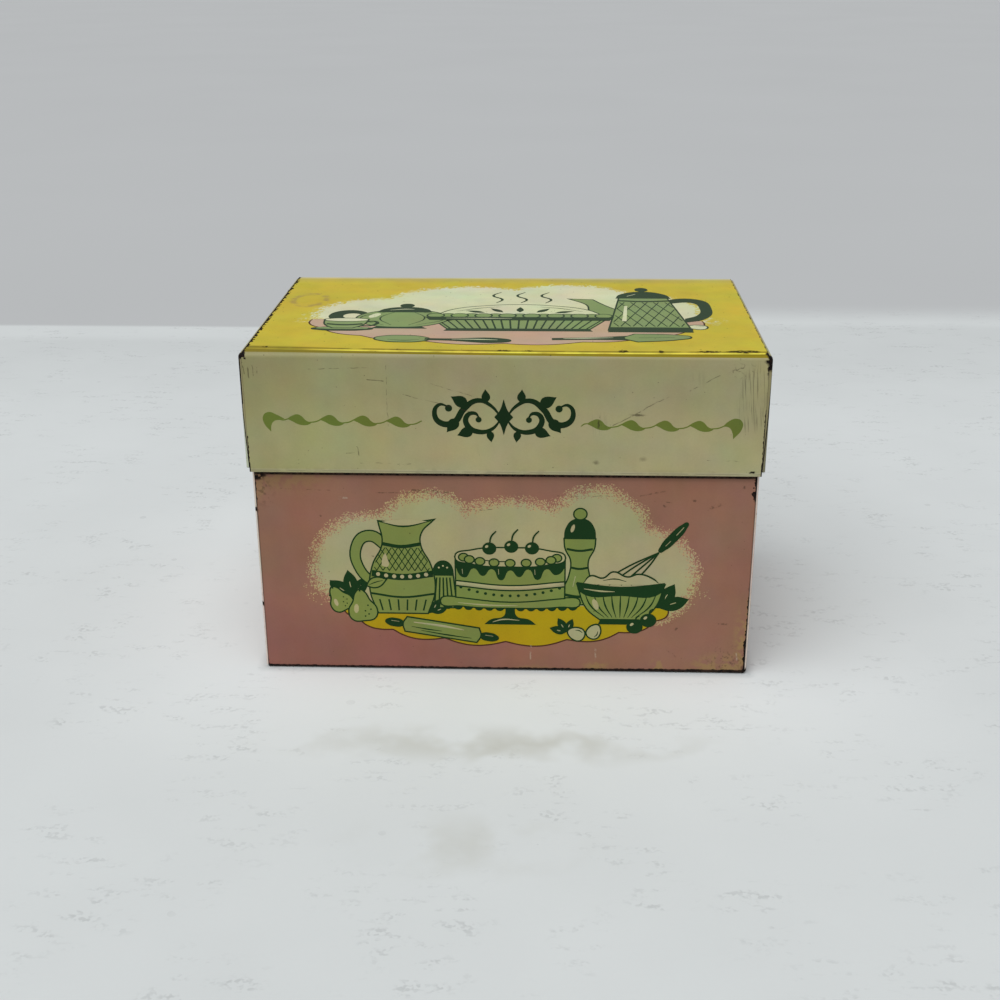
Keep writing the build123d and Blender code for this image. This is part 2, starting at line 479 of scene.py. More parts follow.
class Picture:
    """A picture on one flat face, in millimetres. A point with a third value of 1 is a corner."""

    def __init__(self, x=0.0, y=0.0, size=1.0, turn=0.0, films=None, key=key_line):
        self.x, self.y, self.size, self.turn = x, y, size, turn
        self.films = {} if films is None else films
        self.key = key

    def at(self, x, y, size=1.0, turn=0.0):
        """The same picture, drawn from another place, size and turn."""
        return Picture(x, y, size, turn, self.films, self.key)

    def moved(self, x, y):
        sine, cosine = math.sin(self.turn), math.cos(self.turn)
        x, y = x * self.size, y * self.size
        return self.x + x * cosine - y * sine, self.y + x * sine + y * cosine, 0.0

    def lay(self, ink, curve, height):
        """Makes the curve a closed film and adds it to its ink's mesh."""
        holder = bpy.data.objects.new("outline", curve)
        mesh = bpy.data.meshes.new_from_object(holder)
        mesh.transform(Matrix.Translation((0.0, 0.0, height)))
        one = bmesh.new()
        one.from_mesh(mesh)
        bmesh.ops.remove_doubles(one, verts=one.verts, dist=1e-5)
        bmesh.ops.recalc_face_normals(one, faces=one.faces)
        one.to_mesh(mesh)
        one.free()
        self.films.setdefault(ink, bmesh.new()).from_mesh(mesh)
        bpy.data.meshes.remove(mesh)
        bpy.data.objects.remove(holder)
        bpy.data.curves.remove(curve)

    def patch(self, ink, level, *outlines, grow=0.0):
        """A flat patch of ink inside closed outlines; an outline within another is a hole."""
        top = level * film_step
        curve = bpy.data.curves.new("outline", "CURVE")
        curve.dimensions = "2D"
        curve.fill_mode = "BOTH"
        curve.resolution_u = 6
        curve.extrude = (top + film_sink) / 2
        curve.offset = grow
        for outline in outlines:
            spline = curve.splines.new("BEZIER")
            spline.bezier_points.add(len(outline) - 1)
            spline.use_cyclic_u = True
            for knot, point in zip(spline.bezier_points, outline):
                knot.co = self.moved(*point[:2])
                kind = "VECTOR" if len(point) > 2 else "AUTO"
                knot.handle_left_type = kind
                knot.handle_right_type = kind
        self.lay(ink, curve, (top - film_sink) / 2)

    def drawn(self, ink, level, *outlines):
        """A patch with a dark key line round it."""
        self.patch("dark", level, *outlines, grow=self.key)
        self.patch(ink, level + 1, *outlines)

    def line(self, ink, level, points, width=0.36, ends=0.35, closed=False, swell=False):
        """A brush line through the points, thinner at its ends; a swelling one is fat in its middle."""
        curve = bpy.data.curves.new("line", "CURVE")
        curve.dimensions = "3D"
        curve.twist_mode = "Z_UP"
        curve.resolution_u = 6
        curve.bevel_depth = line_edge
        curve.bevel_resolution = 0
        curve.extrude = width / 2 - line_edge
        curve.use_fill_caps = True
        spline = curve.splines.new("BEZIER")
        spline.bezier_points.add(len(points) - 1)
        spline.use_cyclic_u = closed
        for step, (knot, point) in enumerate(zip(spline.bezier_points, points)):
            knot.co = self.moved(*point[:2])
            kind = "VECTOR" if len(point) > 2 else "AUTO"
            knot.handle_left_type = kind
            knot.handle_right_type = kind
            knot.tilt = math.pi / 2
            share = step / (len(points) - 1)
            if swell:
                knot.radius = ends + (1.0 - ends) * math.sin(math.pi * share)
            elif share in (0.0, 1.0) and not closed:
                knot.radius = ends
        self.lay(ink, curve, level * film_step - line_edge)

    def press(self, name, body, turn, shift, finishes):
        """Sets each ink's film on its face as a piece of its own."""
        for ink, film in self.films.items():
            mesh = bpy.data.meshes.new(name + "_" + ink)
            film.transform(Matrix.Translation(Vector(shift) * MM) @ turn @ Matrix.Scale(MM, 4))
            film.to_mesh(mesh)
            film.free()
            mesh.materials.append(finishes[ink])
            piece = bpy.data.objects.new(name + "_" + ink, mesh)
            bpy.context.scene.collection.objects.link(piece)
            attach(piece, body)


def leaf(picture, level, x, y, length, turn, ink="dark"):
    """A pointed leaf with a midrib, growing from its stalk end."""
    part = picture.at(x, y, length, turn)
    outline = [(0, 0, 1), (0.3, 0.24), (0.66, 0.22), (1, 0, 1), (0.62, -0.22), (0.28, -0.2)]
    if ink == "dark":
        part.patch("dark", level, outline)
        part.line("cream", level + 0.2, [(0.16, 0.0), (0.45, 0.03), (0.8, 0.0)], 0.24)
    else:
        part.drawn(ink, level, outline)
        part.line("dark", level + 2, [(0.06, 0.0), (0.45, 0.03), (0.85, 0.0)], 0.34)


def sprig(picture, level, x, y, length, turns):
    """Dark leaves fanned out from one stalk, each laid over the last."""
    for step, turn in enumerate(turns):
        leaf(picture, level + 0.5 * step, x, y, length * (1.0 - 0.12 * (step % 2)), turn)


def egg(picture, level, x, y, size, turn):
    part = picture.at(x, y, size, turn)
    part.drawn(
        "cream", level,
        [
            (0, -1.9), (1.5, -1.2), (1.75, 0.2), (1.0, 1.9), (0, 2.5), (-1.0, 1.9), (-1.75, 0.2),
            (-1.5, -1.2),
        ],
    )
    part.line("dark", level + 2, [(0.9, -1.2), (1.2, -0.2), (0.9, 0.9)], 0.34)


def plum(picture, level, x, y, size):
    part = picture.at(x, y, size)
    part.patch("dark", level, oval(0, 0, 2.3, 2.1))
    part.patch("cream", level + 1, oval(-0.8, 0.8, 0.6, 0.38, 0.7))
    part.line("dark", level + 1, [(0.2, 1.8), (0.5, 3.0), (1.3, 3.6)], 0.44, 0.8)


def shaker(picture, level, x, y, size):
    """A squat shaker with a domed cap and upright stripes."""
    part = picture.at(x, y, size)
    part.drawn("light", level, [(-3.4, 0, 1), (3.4, 0, 1), (2.5, 9.6, 1), (-2.5, 9.6, 1)])
    for step in (-2, -1, 0, 1, 2):
        part.line("dark", level + 2, [(step * 0.88, 8.8), (step * 1.22, 0.8)], 0.44, 1.0)
    part.patch(
        "dark", level + 3,
        [
            (-2.9, 9.3, 1), (2.9, 9.3, 1), (2.6, 11.6), (1.6, 13.2), (0, 13.8), (-1.6, 13.2),
            (-2.6, 11.6),
        ],
    )
    for step in (-1, 0, 1):
        part.patch("cream", level + 4, oval(step * 1.1, 12.2 - 0.5 * abs(step), 0.26, 0.26))


def pepper_mill(picture, level, x, y, size):
    """A turned pepper mill: waisted body, dark rings and a dark knob."""
    part = picture.at(x, y, size)
    part.drawn(
        "light", level,
        [
            (-3.3, 0, 1), (3.3, 0, 1), (3.5, 2.2), (2.0, 6.6), (1.7, 10.0), (2.9, 12.8),
            (3.1, 14.8, 1), (-3.1, 14.8, 1), (-2.9, 12.8), (-1.7, 10.0), (-2.0, 6.6), (-3.5, 2.2),
        ],
    )
    part.line("dark", level + 2, [(-3.3, 2.2), (0, 1.7), (3.3, 2.2)], 0.8, 1.0)
    part.line("dark", level + 2, [(-1.8, 8.4), (0, 8.1), (1.8, 8.4)], 0.65, 1.0)
    part.line("dark", level + 2, [(-2.7, 12.6), (0, 12.2), (2.7, 12.6)], 0.65, 1.0)
    part.line("cream", level + 2, [(-1.3, 4.0), (-0.8, 6.4)], 0.5)
    part.patch(
        "dark", level + 3,
        [(-3.3, 14.9, 1), (3.3, 14.9, 1), (3.0, 17.2), (1.4, 19.2), (-1.4, 19.2), (-3.0, 17.2)],
    )
    part.patch("cream", level + 4, oval(-1.5, 17.2, 0.36, 0.9, -0.3))
    part.drawn("light", level + 4, oval(0, 20.4, 1.2, 1.1))


def cake(picture, level, x, y, size):
    """A cake on a footed stand: drips of icing, a cream filling and three cherries."""
    part = picture.at(x, y, size)
    part.patch(
        "dark", level,
        [
            (-7, 0, 1), (-5.2, 1.5), (-1.7, 2.6), (-1.3, 5.6, 1), (1.3, 5.6, 1), (1.7, 2.6),
            (5.2, 1.5), (7, 0, 1),
        ],
    )
    part.line("cream", level + 1, [(-4.8, 0.7), (-2, 1.5), (2.5, 1.3)], 0.4)
    for step in range(-6, 7):
        part.patch("dark", level + 1, oval(step * 2.8, 5.5 + 0.012 * step * step, 1.37, 1.5))
    part.drawn("light", level + 2, oval(0, 6.8, 18.6, 1.7))
    part.line("cream", level + 4, [(-14, 6.4), (-7, 5.8), (2, 5.7)], 0.4)
    part.drawn(
        "light", level + 4,
        [(-14.4, 8.2, 1), (0, 6.9), (14.4, 8.2, 1), (14.4, 19.6, 1), (-14.4, 19.6, 1)],
    )
    for step in range(-6, 7):
        part.patch(
            "dark", level + 6, oval(step * 2.2, 9.0 + 0.014 * (step * 2.2) ** 2 - 0.4, 0.42, 0.42),
        )
    part.line("cream", level + 6, [(-14.4, 12.2), (0, 10.9), (14.4, 12.2)], 1.1, 1.0)
    for drop in (0.75, -0.75):
        part.line(
            "dark", level + 7, [(-14.4, 12.2 + drop), (0, 10.9 + drop), (14.4, 12.2 + drop)], 0.42,
            1.0,
        )
    drips = [(-14.6, 19.8, 1)]
    for step in range(13):
        bow = 1.1 * (1 - ((step - 6) / 6) ** 2)
        drips.append((-14.6 + 29.2 * step / 12, (17.4, 14.2, 17.2, 15.2)[step % 4] - bow))
    drips.append((14.6, 19.8, 1))
    part.patch("dark", level + 6, drips)
    for step in (1, 5, 9):
        part.line(
            "cream", level + 7, [(-15.2 + 29 * step / 12, 16.4), (-15.1 + 29 * step / 12, 14.9)],
            0.36,
        )
    part.drawn("cream", level + 7, oval(0, 19.9, 14.5, 2.6))
    part.line("dark", level + 8.4, [(-10, 19.5), (-4, 18.7), (3, 18.9)], 0.39)
    for step in range(9):
        angle = math.pi * (1.06 + 0.88 * step / 8)
        part.drawn(
            "light", level + 9 + 2 * (step % 2),
            oval(12.6 * math.cos(angle), 20.2 + 2.0 * math.sin(angle), 1.1, 0.9),
        )
    for across, up in ((-5.5, 22.4), (5.8, 22.6), (0.3, 23.0)):
        part.patch("dark", level + 13, oval(across, up, 1.85, 1.75))
        part.patch("cream", level + 14, oval(across - 0.7, up + 0.6, 0.48, 0.34, 0.6))
        part.line(
            "dark", level + 14,
            [(across + 0.1, up + 1.5), (across + 0.5, up + 3.4), (across + 1.8, up + 5.0)], 0.47,
            0.8,
        )


def lattice(picture, level, outline, pitch, lean, width):
    """Crossed slanting lines, each cut off where it meets the outline."""
    for side in (-1, 1):
        slope = side * lean
        along = [x - slope * y for x, y in outline]
        start = min(along) + pitch / 2
        while start < max(along):
            ends = []
            for (x0, y0), (x1, y1) in zip(outline, outline[1:] + outline[:1]):
                first = x0 - slope * y0 - start
                second = x1 - slope * y1 - start
                if first * second < 0.0:
                    share = first / (first - second)
                    ends.append((x0 + (x1 - x0) * share, y0 + (y1 - y0) * share))
            if len(ends) == 2:
                picture.line("dark", level + 0.2 * side, ends, width, 1.0)
            start += pitch


def milk_jug(picture, level, x, y, size):
    """A milk jug with painted bands and an open handle."""
    part = picture.at(x, y, size)
    part.drawn(
        "light",
        level,
        [
            (-4.2, 19.6), (-8.4, 21.6), (-12.0, 17.6), (-10.8, 10.6), (-6.9, 6.6, 1),
            (-6.6, 8.8, 1), (-9.2, 11.8), (-10.0, 16.6), (-8.0, 19.2), (-4.6, 17.2, 1),
        ],
    )
    part.drawn(
        "light", level + 2,
        [
            (-6, 0, 1), (6, 0, 1), (7.8, 6), (7.0, 12.6), (4.5, 18.4), (4.9, 21.6), (7.6, 24.6, 1),
            (0.5, 23.6), (-5.2, 24.2, 1), (-4.4, 18.4), (-7.0, 12.6), (-7.8, 6),
        ],
    )
    part.patch("cream", level + 4, [(7.0, 24.3, 1), (1.0, 24.9), (-4.7, 24.1, 1), (0.6, 23.1)])
    part.line("dark", level + 5, [(-5.2, 24.2), (0.6, 23.0), (7.4, 24.5)], 0.52)
    part.line("dark", level + 4, [(-7.4, 10.6), (0, 9.6), (7.5, 10.6)], 1.9, 1.0)
    part.line("dark", level + 4, [(-7.8, 5.2), (0, 4.2), (7.8, 5.2)], 0.6, 1.0)
    part.line("dark", level + 4, [(-4.5, 18.4), (0, 17.7), (4.5, 18.4)], 1.0, 1.0)
    for step in range(-3, 4):
        part.patch(
            "cream", level + 5, oval(step * 1.95, 9.72 + 0.018 * (step * 1.95) ** 2, 0.5, 0.5),
        )
    lattice(
        part, level + 3.5,
        [(-6.9, 11.3), (6.9, 11.3), (6.2, 14.2), (4.7, 17.4), (-4.7, 17.4), (-6.2, 14.2)], 1.55,
        0.62, 0.26,
    )
    part.patch(
        "cream", level + 5,
        [(-4.9, 12.6, 1), (-3.4, 12.4), (-3.5, 14.8), (-3.9, 16.0, 1), (-4.6, 14.8)],
    )
    for step in (-5.0, -3.0, -1.0, 1.0, 3.0, 5.0):
        part.line("dark", level + 4, [(step * 1.0, 0.6), (step * 1.14, 3.6)], 0.44, 1.0)


def mixing_bowl(picture, level, x, y, size):
    """A fluted mixing bowl with batter in it and a wire whisk leaning on its rim."""
    part = picture.at(x, y, size)
    for step, bow in enumerate((-2.6, -0.9, 0.9, 2.4)):
        part.line(
            "dark", level + 0.4 * step, [(9.4, 19.4), (4.6 + bow, 15.6), (bow * 1.7 - 1.5, 10.2)],
            0.47, 0.9,
        )
    part.at(
        x + 12.9 * size, y + 23.6 * size, size, 0.86,
    ).patch("dark", level + 2, oval(0, 0, 5.4, 1.25))
    part.line("cream", level + 3, [(11.0, 21.2), (12.2, 22.6)], 0.4)
    part.line("cream", level + 3, [(13.6, 24.2), (15.4, 26.4)], 0.5)
    part.patch(
        "cream", level + 2,
        [
            (-9.6, 10.4, 1), (-7.8, 12.6), (-4.6, 12.0), (-2.0, 13.8), (1.6, 12.4), (4.6, 13.2),
            (8.4, 11.8), (9.8, 10.4, 1),
        ],
        grow=0.1,
    )
    part.line(
        "dark", level + 3,
        [
            (-9.6, 10.6), (-7.8, 12.7), (-4.6, 12.1), (-2.0, 13.9), (1.6, 12.5), (4.6, 13.3),
            (8.4, 11.9), (9.6, 10.8),
        ],
        0.47,
    )
    part.line("dark", level + 3, [(-4.6, 11.4), (-1.6, 11.9), (1.4, 11.2)], 0.39)
    part.drawn(
        "light", level + 4,
        [
            (-4.6, 0, 1), (4.6, 0, 1), (8.6, 3.6), (11.0, 10.2, 1), (0, 9.3), (-11.0, 10.2, 1),
            (-8.6, 3.6),
        ],
    )
    for step in range(-4, 5):
        part.line(
            "dark", level + 6,
            [(step * 2.35, 8.2 + abs(step) * 0.06), (step * 1.9, 4.2), (step * 1.0, 0.9)], 0.47,
        )
    part.patch(
        "dark", level + 7,
        [(-11.3, 10.9, 1), (-10.6, 8.2), (0, 7.1), (10.6, 8.2), (11.3, 10.9, 1), (0, 9.7)],
    )
    part.line("cream", level + 8, [(-9.4, 9.0), (-5, 8.4), (-1.5, 8.3)], 0.46)
    part.patch("cream", level + 7, oval(-6.4, 4.6, 0.7, 1.6, 0.35))
    part.patch(
        "dark", level + 6.5, [(-5.6, -1.1, 1), (5.6, -1.1, 1), (5.0, 0.5, 1), (-5.0, 0.5, 1)],
    )


def rolling_pin(picture, level, x, y, size, turn):
    part = picture.at(x, y, size, turn)
    for side in (-1, 1):
        part.patch("dark", level, oval(side * 14.0, 0, 3.0, 1.4))
        part.line("cream", level + 1, [(side * 14.0 - 1.2, 0.45), (side * 14.0 + 1.2, 0.45)], 0.34)
    part.drawn(
        "light", level + 1,
        [(-10.6, -2.2, 1), (10.6, -2.2, 1), (11.4, 0), (10.6, 2.2, 1), (-10.6, 2.2, 1), (-11.4, 0)],
    )
    part.line("cream", level + 3, [(-8.6, 1.0), (0, 1.2), (6.4, 1.0)], 0.7)
    part.line("dark", level + 3, [(-6, -1.3), (2, -1.45), (9, -1.3)], 0.44)
    part.line("dark", level + 3, [(-9, -0.5), (-4, -0.6), (0, -0.5)], 0.39)


def pear(picture, level, x, y, size, turn):
    part = picture.at(x, y, size, turn)
    part.drawn(
        "light", level,
        [
            (0, -0.2), (2.8, 0.3), (3.5, 2.8), (2.0, 5.4), (1.1, 7.6), (0, 8.4), (-1.1, 7.6),
            (-2.0, 5.4), (-3.5, 2.8), (-2.8, 0.3),
        ],
    )
    part.line("dark", level + 2, [(0, 8.0), (0.2, 9.6), (1.0, 10.8)], 0.60, 0.8)
    part.patch("cream", level + 2, oval(-1.6, 3.3, 0.6, 1.3, -0.2))
    for across, up in ((1.4, 1.4), (2.1, 2.7), (0.6, 2.4), (1.5, 3.9), (0.4, 0.9)):
        part.patch("dark", level + 2, oval(across, up, 0.22, 0.22))


def scalloped_cloth(picture, ink, line_ink, left, right, top, bottom, bays, width):
    """A cloth in a shallow bow with a scalloped hem, and a brown line along the hem."""
    middle, half = (left + right) / 2, (right - left) / 2
    hem = []
    for step in range(4 * bays + 1):
        angle = math.pi * step / (4 * bays)
        swell = math.sin(math.pi * (step % 4) / 4)
        knot = (
            middle - (half + 0.9 * swell) * math.cos(angle),
            top - (top - bottom) * math.sin(angle) - 1.5 * swell * (0.3 + math.sin(angle)) / 1.3,
        )
        hem.append(knot if step % 4 else (*knot, 1))
    picture.patch(ink, 1, hem)
    picture.line(line_ink, 2, hem, width, 0.6)


front_picture = Picture()
scalloped_cloth(front_picture, "cloth", "brown", -43.0, 43.5, 20.0, 9.0, 8, 0.42)
shaker(front_picture, 3, -16.4, 19.2, 1.0)
pepper_mill(front_picture, 3, 19.9, 20.6, 1.28)
sprig(front_picture, 3, -40.6, 22.0, 8.0, (2.5, 1.0, 1.75, 3.1))
sprig(front_picture, 3, 41.6, 19.6, 8.2, (0.35, 2.3, 1.1, 1.7))
sprig(front_picture, 3, -19.6, 17.4, 5.4, (2.6, 0.4, 1.9, 1.1))
milk_jug(front_picture, 8, -27.4, 17.4, 1.1)
cake(front_picture, 8, 1.5, 14.2, 1.0)
mixing_bowl(front_picture, 12, 31.0, 15.8, 1.04)
pear(front_picture, 16, -38.0, 15.2, 1.05, 0.12)
pear(front_picture, 13, -43.0, 18.4, 0.84, 0.5)
leaf(front_picture, 19, -36.8, 25.4, 5.2, 0.35, "light")
rolling_pin(front_picture, 20, -17.0, 12.4, 0.92, -0.16)
sprig(front_picture, 20, 16.8, 12.2, 4.8, (2.9, 0.2, 2.1, 1.2))
egg(front_picture, 24, 19.6, 11.6, 1.0, 1.2)
egg(front_picture, 27, 24.0, 12.2, 0.95, -0.5)
plum(front_picture, 22, 38.6, 16.0, 0.95)
plum(front_picture, 24, 35.0, 14.0, 0.95)


def body_ink(colour):
    """An ink on the front of the body, worn as the sheet under it is."""

    def look(place, x, y, z):
        return varnished(place, colour, *body_wear(place, x, y, z))

    return look


front_picture.press(
    "front_print",
    "body",
    Matrix.Rotation(math.pi / 2, 4, "X"),
    (0.0, body_front, 0.0),
    {
        "cloth": finish_of("Yellow ink on the body", body_ink(cloth_yellow)),
        "light": finish_of("Light green ink on the body", body_ink(light_green)),
        "dark": finish_of("Dark green ink on the body", body_ink(dark_green)),
        "cream": finish_of("Bare cream on the body", body_ink(rgb(180, 172, 128))),
        "brown": finish_of("Brown ink on the body", body_ink(brown_line)),
    },
)


# ---- Body end panels --------------------------------------------------------------------------
# Two pans pressed from the same tin, slipped in between the front and back walls. Their outside is
# plain pink to the flange bend, which rubs pale and is painted paler still as a highlight, and the
# flanges inside are bare tin.
body_pan_face = 65.8
body_pan_bend = 0.5
body_pan_side = 41.5
body_pan_foot = 0.3


def body_pan_look(place, x, y, z):
    outward = abs(x)
    bend = (outward - (body_pan_face - body_pan_bend)).most(0.0)
    side = (abs(y) - (body_pan_side - body_pan_bend)).most(0.0)
    foot = ((body_pan_foot + body_pan_bend) - z).most(0.0)
    radius = bend * bend + side * side + foot * foot
    printed = radius > (body_pan_bend - sheet_half) ** 2
    corner = (side.most(foot)).rise(0.12, 0.34)
    patch = noise(place, 4.0, 3.0)
    face = flat(y, z)
    ragged = jitter(face, 1.1, 1.4)
    rust = (corner * patch.rise(0.64, 0.70)).most(specks(place, 1.2, 0.02) * 0.8)
    rust = rust.most(spot(ragged, (-41.0, 0.6), (1.8, 1.6), 0.3) * (x > 0.0))
    dirt_and_shade = spot(ragged, (0.0, 0.0), (60.0, 3.0), 0.2) * patch.rise(0.45, 0.7) * 0.4
    dirt_and_shade = dirt_and_shade.most((outward < 65.34) * 0.8)
    # The bend's pale tint is partly rubbing and partly painted highlight.
    ground = (corner * 0.95).tint(pink, rgb(240, 222, 210))
    outer = varnished(place, ground, dirt_and_shade, patch.rise(0.5, 0.7) * 0.3, rust, corner * 0.2)
    inner = tinplate(place, x, y, z)
    return two_sided(printed, outer, inner)


body_pan_finish = finish_of("Printed body end tin", body_pan_look)
dress("body_end_left", body_pan_finish)
dress("body_end_right", body_pan_finish)


# ---- Lid sheet --------------------------------------------------------------------------------
# The same strip of tinplate bent over the top: yellow on top with a cloud left cream for the picture,
# cream down the front and back skirts, hemmed at the front edge and rolled round the wire behind.
lid_front = -43.0
lid_top = 90.0
lid_bend = 1.2
lid_half_length = 66.05
yellow = rgb(210, 190, 56)
bare_white = rgb(220, 222, 181)

top_lobes = (
    ((-34.0, -2.0), (20.0, 17.0)),
    ((-12.0, 10.0), (24.0, 20.0)),
    ((16.0, 14.0), (20.0, 19.0)),
    ((36.0, 2.0), (17.0, 19.0)),
    ((0.0, -8.0), (52.0, 14.0)),
)


def lid_wear(place, x, y, z):
    """Dirt, stains, rust and rubbing on the outside of the lid, with a painted highlight and a painted
    dark line along the hem at the skirt's lower edge.
    """
    face = flat(x, z)
    upper = flat(x, y)
    ragged = jitter(face, 0.9, 1.0)
    ragged_top = jitter(upper, 1.0, 1.2)
    rough_top = jitter(upper, 1.5, 2.0)
    wavy = jitter(face, 4.0, 0.9)
    front = (y < -42.3) * (z < 89.0)
    over = z > 88.9
    broken = noise(place, 1.6, 3.0).rise(0.36, 0.54)
    scratches = all_of(
        [
            scratch(wavy, ends, width) * broken
            for ends, width in (
                ((-25.5, 79.5, -9.0, 75.0), 0.16),
                ((-18.6, 82.4, -8.0, 79.2), 0.13),
                ((27.7, 71.5, 41.5, 79.4), 0.2),
                ((46.6, 80.8, 54.3, 85.2), 0.15),
                ((-29.6, 87.0, -29.6, 68.0), 0.12),
                ((-34.4, 83.4, -30.4, 82.9), 0.2),
                ((-50.0, 86.0, -34.0, 86.4), 0.12),
                ((52.0, 62.4, 61.0, 62.2), 0.12),
                ((-41.0, 60.9, -24.0, 60.7), 0.12),
                ((-65.8, 87.6, -65.6, 84.6), 0.2),
                ((-64.7, 87.3, -64.5, 83.4), 0.26),
                ((-63.5, 86.8, -63.3, 84.0), 0.18),
                ((-62.4, 86.2, -62.3, 84.8), 0.14),
                ((-46.4, 65.2, -45.8, 63.8), 0.12),
                ((-40.6, 63.4, -38.4, 63.8), 0.12),
                ((-37.7, 65.2, -37.3, 63.0), 0.2),
            )
        ]
    )
    rubs = noise(flat(x * 3.2 + z * 0.24, z * 0.09), 1.0, 3.0).rise(0.52, 0.64)
    rubs = rubs * all_of(
        [
            spot(wavy, (62.6, 79.0), (4.4, 11.0), 0.6),
            spot(wavy, (50.0, 84.0), (7.0, 3.0), 0.0) * 0.25,
            spot(wavy, (24.0, 72.0), (4.0, 5.0), 0.0) * 0.35,
        ]
    )
    smudges = all_of(
        [
            spot(ragged, (33.9, 74.4), (2.6, 0.5), 0.2),
            spot(ragged, (24.0, 72.0), (0.5, 1.7), 0.2),
            spot(ragged, (23.6, 61.6), (1.2, 0.8), 0.1) * 0.7,
            spot(ragged, (35.6, 62.6), (1.4, 1.0), 0.1) * 0.5,
        ]
    )
    curls = abs(noise(face, 2.2, 1.0) - 0.5).rise(0.035, 0.015) * noise(
        place, 1.0, 3.0,
    ).rise(0.42, 0.56)
    curls = curls * spot(face, (60.0, 86.2), (4.4, 2.6), 0.5)
    chips = all_of(
        [
            spot(rough_top, (at, -40.9 - at * 0.017 + at * at * 0.00035 + 1.6), (half, deep), 0.8)
            for at, half, deep in (
                (0.0, 1.9, 0.9),
                (6.4, 1.2, 0.5),
                (29.8, 1.4, 1.3),
                (39.4, 0.7, 1.2),
                (51.6, 3.3, 1.0),
                (60.0, 4.8, 1.5),
                (-27.0, 0.7, 0.6),
                (-61.0, 0.9, 0.6),
            )
        ]
    )
    corners = all_of(
        [
            spot(ragged, (66.5, 88.9), (1.9, 1.7), 0.6),
            spot(ragged, (66.3, 86.2), (0.8, 2.6), 0.5),
            spot(ragged, (-66.3, 89.4), (0.7, 0.8), 0.5),
            spot(ragged, (-65.1, 88.7), (0.4, 0.3), 0.4),
            spot(ragged, (63.6, 59.2), (1.0, 0.4), 0.4),
        ]
    )
    edge = lid_half_length - abs(x)
    bite = noise(place, 1.1, 3.0).rise(0.40, 0.66)
    side_line = (edge < 0.12 + bite * 0.2) * (z < 68.0 + (x > 0.0) * 8.0)
    side_line = side_line.most((edge < 0.3) * z.rise(61.5, 60.0))
    top_line = edge < (0.3 + bite * 0.75) * (x < 0.0) + (x > 0.0) * bite * 0.3
    chips = chips * noise(upper, 0.8, 3.0).rise(0.34, 0.46) * (0.75 + bite * 0.25) * over
    rust = (corners * front).most(chips).most(side_line * front)
    rust = rust.most(top_line * over).most(edge < 0.03)
    rust = rust.most(spot(ragged_top, (-66.3, -41.8), (0.9, 1.8), 0.5) * over)
    rust = rust.most(spot(ragged_top, (66.2, -41.2), (1.3, 2.4), 0.5) * over)
    ring = abs(spot_distance(ragged_top, (-57.8, 13.0), (6.0, 9.0)) - 0.8).rise(0.22, 0.05)
    stain = ring * noise(upper, 3.0, 3.0).rise(0.36, 0.6) * over
    speck = specks(place, 0.9, 0.035) * 0.8
    speck = speck.most(specks(upper, 0.7, 0.1) * over * 0.35)
    grime = z.rise(60.0, 58.4) * noise(place, 2.2, 3.0).rise(0.4, 0.7) * front
    dirt_and_shade = (scratches * 0.8).most(rubs * 0.7).most(smudges).most(curls * 0.7) * front
    dirt_and_shade = dirt_and_shade.most(speck).most(grime * 0.35)
    # lip: a pale painted highlight along the hem at the skirt's lower edge; the next line adds a
    # painted dark line just above it.
    lip = z.rise(59.3, 58.9) * 0.24
    dirt_and_shade = dirt_and_shade.most(abs(z - 58.62).rise(0.22, 0.1) * noise(place, 4.0).rise(0.3, 0.5) * 0.5 * front)
    return dirt_and_shade, stain, rust, lip * front


